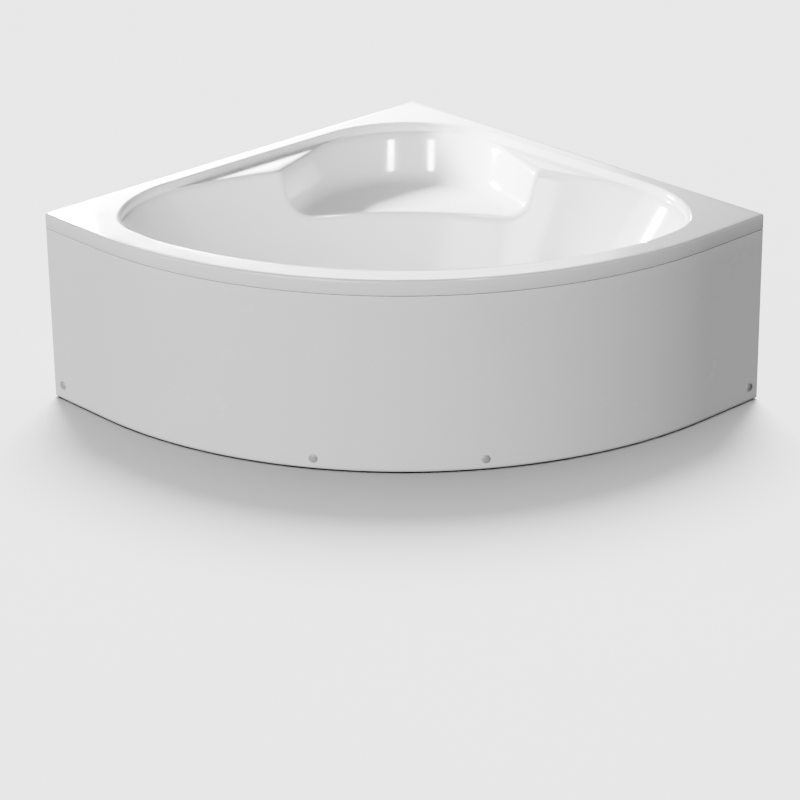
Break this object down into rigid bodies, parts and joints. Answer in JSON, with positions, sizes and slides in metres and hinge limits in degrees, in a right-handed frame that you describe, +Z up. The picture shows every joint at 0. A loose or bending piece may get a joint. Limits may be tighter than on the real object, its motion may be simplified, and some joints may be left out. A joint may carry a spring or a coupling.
{
  "type": "corner bathtub",
  "caption": "Corner bathtub with a bowed front panel, a seat in the back corner, levelling feet, pop-up waste and overflow knob.",
  "frame": {"origin": "on the floor, under the middle of the outline", "axes": "+X to the right seen from the front, +Y into the corner of the room, +Z up; the plane X = 0 mirrors the tub"},
  "size_m": [2.1134, 1.5994, 0.59],
  "materials": {
    "shell_acrylic": "high gloss sanitary acrylic",
    "panel_acrylic": "satin gloss acrylic",
    "board": "raw chipboard",
    "frame_steel": "grey powder coat",
    "zinc": "zinc plated",
    "foot_plastic": "moulded",
    "chrome": "polished chrome",
    "cap_plastic": "moulded",
    "pipe_plastic": "moulded",
    "nut_plastic": "moulded",
    "seal_rubber": "soft",
    "cable_sheath": "smooth sheath"
  },
  "bodies": {
    "root": {"tub_shell": "shell_acrylic", "base_board": "board", "rim_batten_left": "board", "rim_batten_right": "board", "rim_batten_front": "board", "corner_pads": "board", "seat_pad": "board", "seat_prop": "frame_steel", "frame_cross_rail": "frame_steel", "frame_rear_arm": "frame_steel", "frame_front_arms": "frame_steel", "post_back": "frame_steel", "post_left": "frame_steel", "post_right": "frame_steel", "posts_front": "frame_steel", "legs_centre": "frame_steel", "foot_nuts": "zinc", "foot_lock_nuts": "zinc", "wall_bracket_left": "zinc", "wall_bracket_right": "zinc", "bracket_screws": "zinc", "front_panel": "panel_acrylic", "panel_clips": "zinc", "panel_brackets": "zinc", "panel_screws": "zinc", "screw_caps": "cap_plastic", "waste_flange": "chrome", "waste_seal_top": "seal_rubber", "waste_seal_bottom": "seal_rubber", "waste_body": "pipe_plastic", "lever_pin": "zinc", "overflow_body": "pipe_plastic", "overflow_seal": "seal_rubber", "overflow_plate": "chrome", "overflow_pipe": "pipe_plastic", "pull_cable": "cable_sheath", "slip_nuts": "nut_plastic", "trap_body": "pipe_plastic", "outlet_pipe": "nut_plastic", "pipe_clip": "zinc"},
    "foot_back": {"foot_stud_back": "zinc", "foot_pad_back": "foot_plastic"},
    "foot_left": {"foot_stud_left": "zinc", "foot_pad_left": "foot_plastic"},
    "foot_right": {"foot_stud_right": "zinc", "foot_pad_right": "foot_plastic"},
    "foot_front_left": {"foot_stud_front_left": "zinc", "foot_pad_front_left": "foot_plastic"},
    "foot_front_right": {"foot_stud_front_right": "zinc", "foot_pad_front_right": "foot_plastic"},
    "foot_centre_left": {"foot_stud_centre_left": "zinc", "foot_pad_centre_left": "foot_plastic"},
    "foot_centre_right": {"foot_stud_centre_right": "zinc", "foot_pad_centre_right": "foot_plastic"},
    "knob": {"overflow_knob": "chrome"},
    "plug": {"waste_plug": "chrome"},
    "lever": {"lift_lever": "pipe_plastic"}
  },
  "joints": [
    {"name": "foot_back_screw", "type": "slide", "parent": "root", "child": "foot_back", "axis": [0, 0, 1], "range_m": [-0.03, 0]},
    {"name": "foot_left_screw", "type": "slide", "parent": "root", "child": "foot_left", "axis": [0, 0, 1], "range_m": [-0.03, 0]},
    {"name": "foot_right_screw", "type": "slide", "parent": "root", "child": "foot_right", "axis": [0, 0, 1], "range_m": [-0.03, 0]},
    {"name": "foot_front_left_screw", "type": "slide", "parent": "root", "child": "foot_front_left", "axis": [0, 0, 1], "range_m": [-0.03, 0]},
    {"name": "foot_front_right_screw", "type": "slide", "parent": "root", "child": "foot_front_right", "axis": [0, 0, 1], "range_m": [-0.03, 0]},
    {"name": "foot_centre_left_screw", "type": "slide", "parent": "root", "child": "foot_centre_left", "axis": [0, 0, 1], "range_m": [-0.03, 0]},
    {"name": "foot_centre_right_screw", "type": "slide", "parent": "root", "child": "foot_centre_right", "axis": [0, 0, 1], "range_m": [-0.03, 0]},
    {"name": "knob_turn", "type": "hinge", "parent": "root", "child": "knob", "pos_m": [0, -0.66365, 0.48], "axis": [0, 0.9701, 0.2425], "range_deg": [0, 90]},
    {"name": "plug_lift", "type": "slide", "parent": "root", "child": "plug", "axis": [0, 0, 1], "range_m": [0, 0.01]},
    {"name": "lever_tilt", "type": "hinge", "parent": "root", "child": "lever", "pos_m": [0, -0.49715, 0.088], "axis": [1, 0, 0], "range_deg": [0, 36]}
  ],
  "couplings": [
    {"joint": "knob_turn", "follows": "plug_lift", "rad_per_m": 157},
    {"joint": "lever_tilt", "follows": "plug_lift", "rad_per_m": 62.7}
  ]
}
